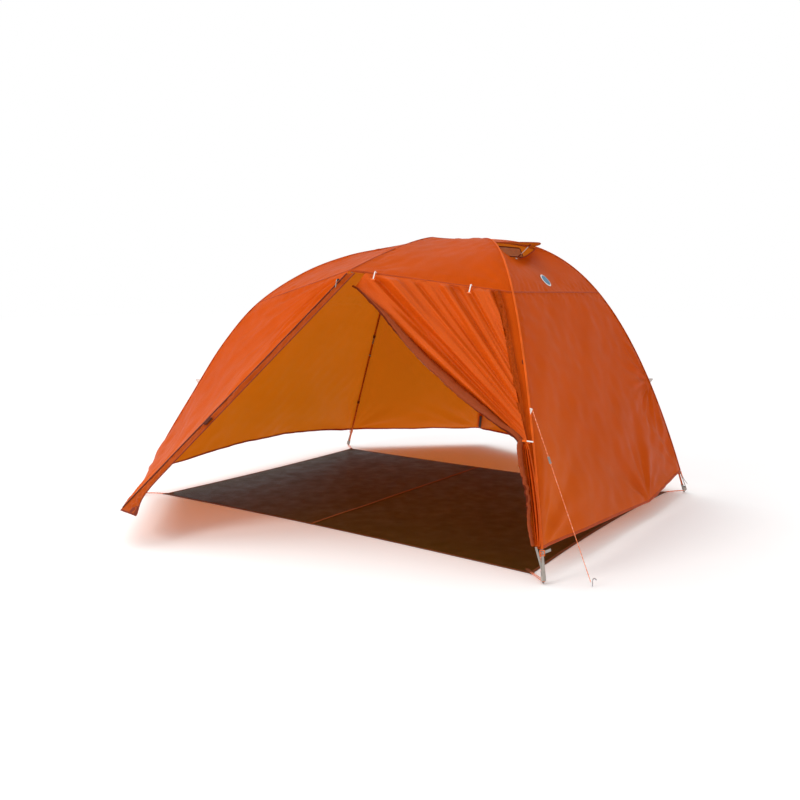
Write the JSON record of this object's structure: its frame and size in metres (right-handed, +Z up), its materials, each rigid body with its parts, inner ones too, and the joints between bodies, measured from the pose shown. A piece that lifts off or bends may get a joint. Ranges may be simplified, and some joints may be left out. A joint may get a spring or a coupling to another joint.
{
  "type": "backpacking dome tent",
  "caption": "Free-standing backpacking tent pitched as fly and ground sheet: a nylon fly over a hubbed pole frame, one door tied back, one zipped shut.",
  "frame": {"origin": "centre of the ground sheet's underside, on the ground", "axes": "+X to the right-hand (vented) end, -Y to the side whose door is tied back, +Z up"},
  "size_m": [2.4752, 2.8896, 1.3238],
  "materials": {
    "fly_nylon": "ripstop nylon with a silicone coating, burnt orange",
    "fly_end_nylon": "ripstop nylon, deeper orange ends",
    "fly_trim": "dark red-brown binding and zip flap",
    "ground_nylon": "dark brown coated taffeta",
    "pole_orange": "orange anodised tube",
    "hub_grey": "grey moulded nylon",
    "webbing_grey": "flat grey polyester webbing",
    "plastic_grey": "grey moulded acetal",
    "plastic_orange": "orange moulded acetal",
    "cord_orange": "braided cord, orange with pale flecks",
    "toggle_white": "white moulded plastic and tape",
    "mesh_grey": "fine insect mesh, pinkish grey",
    "stake_metal": "bare aluminium rod"
  },
  "bodies": {
    "tent": {"brow_pole": "pole_orange", "brow_swivel": "hub_grey", "fly_door_rear": "fly_nylon", "fly_door_tied_back": "fly_nylon", "fly_left_end": "fly_end_nylon", "fly_left_end_top": "fly_end_nylon", "fly_right_end": "fly_end_nylon", "fly_right_end_top": "fly_end_nylon", "fly_roof_front_left": "fly_nylon", "fly_roof_front_right": "fly_nylon", "fly_roof_rear_left": "fly_nylon", "fly_roof_rear_right": "fly_nylon", "fly_side_strip_front": "fly_nylon", "fly_storm_flap": "fly_trim", "fly_vent_crown": "fly_end_nylon", "fly_vestibule_front": "fly_nylon", "fly_vestibule_rear": "fly_nylon", "front_left_corner_strap": "webbing_grey", "front_left_guy_tab": "webbing_grey", "front_left_ladder_lock": "plastic_orange", "front_left_leg_lower": "pole_orange", "front_left_leg_upper": "pole_orange", "front_left_pole_tip": "plastic_grey", "front_left_sheet_loop": "cord_orange", "front_right_corner_strap": "webbing_grey", "front_right_guy_tab": "webbing_grey", "front_right_ladder_lock": "plastic_orange", "front_right_leg_lower": "pole_orange", "front_right_leg_upper": "pole_orange", "front_right_pole_tip": "plastic_grey", "front_right_sheet_loop": "cord_orange", "ground_sheet": "ground_nylon", "guyline": "cord_orange", "guyline_stake": "stake_metal", "left_hub": "hub_grey", "rear_left_corner_strap": "webbing_grey", "rear_left_guy_tab": "webbing_grey", "rear_left_ladder_lock": "plastic_orange", "rear_left_leg_lower": "pole_orange", "rear_left_leg_upper": "pole_orange", "rear_left_pole_tip": "plastic_grey", "rear_left_sheet_loop": "cord_orange", "rear_right_corner_strap": "webbing_grey", "rear_right_guy_tab": "webbing_grey", "rear_right_ladder_lock": "plastic_orange", "rear_right_leg_lower": "pole_orange", "rear_right_leg_upper": "pole_orange", "rear_right_pole_tip": "plastic_grey", "rear_right_sheet_loop": "cord_orange", "ridge_pole": "pole_orange", "right_hub": "hub_grey", "vent_mesh": "mesh_grey"},
    "vent_hood": {"vent_hood": "fly_end_nylon"},
    "vent_strut": {"vent_strut": "toggle_white"},
    "front_zip_slider": {"front_zip_slider": "plastic_grey"},
    "rear_zip_slider": {"rear_zip_slider": "plastic_grey"},
    "door_toggle_left": {"door_toggle_left": "toggle_white"},
    "door_toggle_right": {"door_toggle_right": "toggle_white"},
    "tie_back_toggle": {"tie_back_toggle": "toggle_white"},
    "guyline_tensioner": {"guyline_tensioner": "plastic_grey"}
  },
  "joints": [
    {"name": "vent_hood_hinge", "type": "hinge", "parent": "tent", "child": "vent_hood", "pos_m": [0.562, 0, 1.272], "axis": [0, 1, 0], "range_deg": [0, 32]},
    {"name": "vent_strut_hinge", "type": "hinge", "parent": "tent", "child": "vent_strut", "pos_m": [0.574, 0, 1.21], "axis": [0, 1, 0], "range_deg": [0, 55]},
    {"name": "front_zip_slide", "type": "slide", "parent": "tent", "child": "front_zip_slider", "axis": [-0.4539, -0.5355, -0.7122], "range_m": [0, 1.25]},
    {"name": "rear_zip_slide", "type": "slide", "parent": "tent", "child": "rear_zip_slider", "axis": [0.3878, -0.5612, 0.7312], "range_m": [0, 1.25]},
    {"name": "door_toggle_left_swing", "type": "hinge", "parent": "tent", "child": "door_toggle_left", "pos_m": [0.2238, -0.6379, 1.1378], "axis": [-0.9535, -0.2708, 0.1326], "range_deg": [0, 110]},
    {"name": "door_toggle_right_swing", "type": "hinge", "parent": "tent", "child": "door_toggle_right", "pos_m": [0.6325, -0.5207, 1.0805], "axis": [-0.9535, -0.2708, 0.1326], "range_deg": [0, 110]},
    {"name": "tie_back_toggle_turn", "type": "hinge", "parent": "tent", "child": "tie_back_toggle", "pos_m": [1.0402, -0.7691, 0.5015], "axis": [0.3009, -0.8827, 0.3611], "range_deg": [-40, 40]},
    {"name": "guyline_tensioner_slide", "type": "slide", "parent": "tent", "child": "guyline_tensioner", "axis": [0.4308, -0.1229, -0.894], "range_m": [-0.17, 0.42]}
  ],
  "couplings": [
    {"joint": "vent_strut_hinge", "follows": "vent_hood_hinge", "ratio": 1.7}
  ]
}
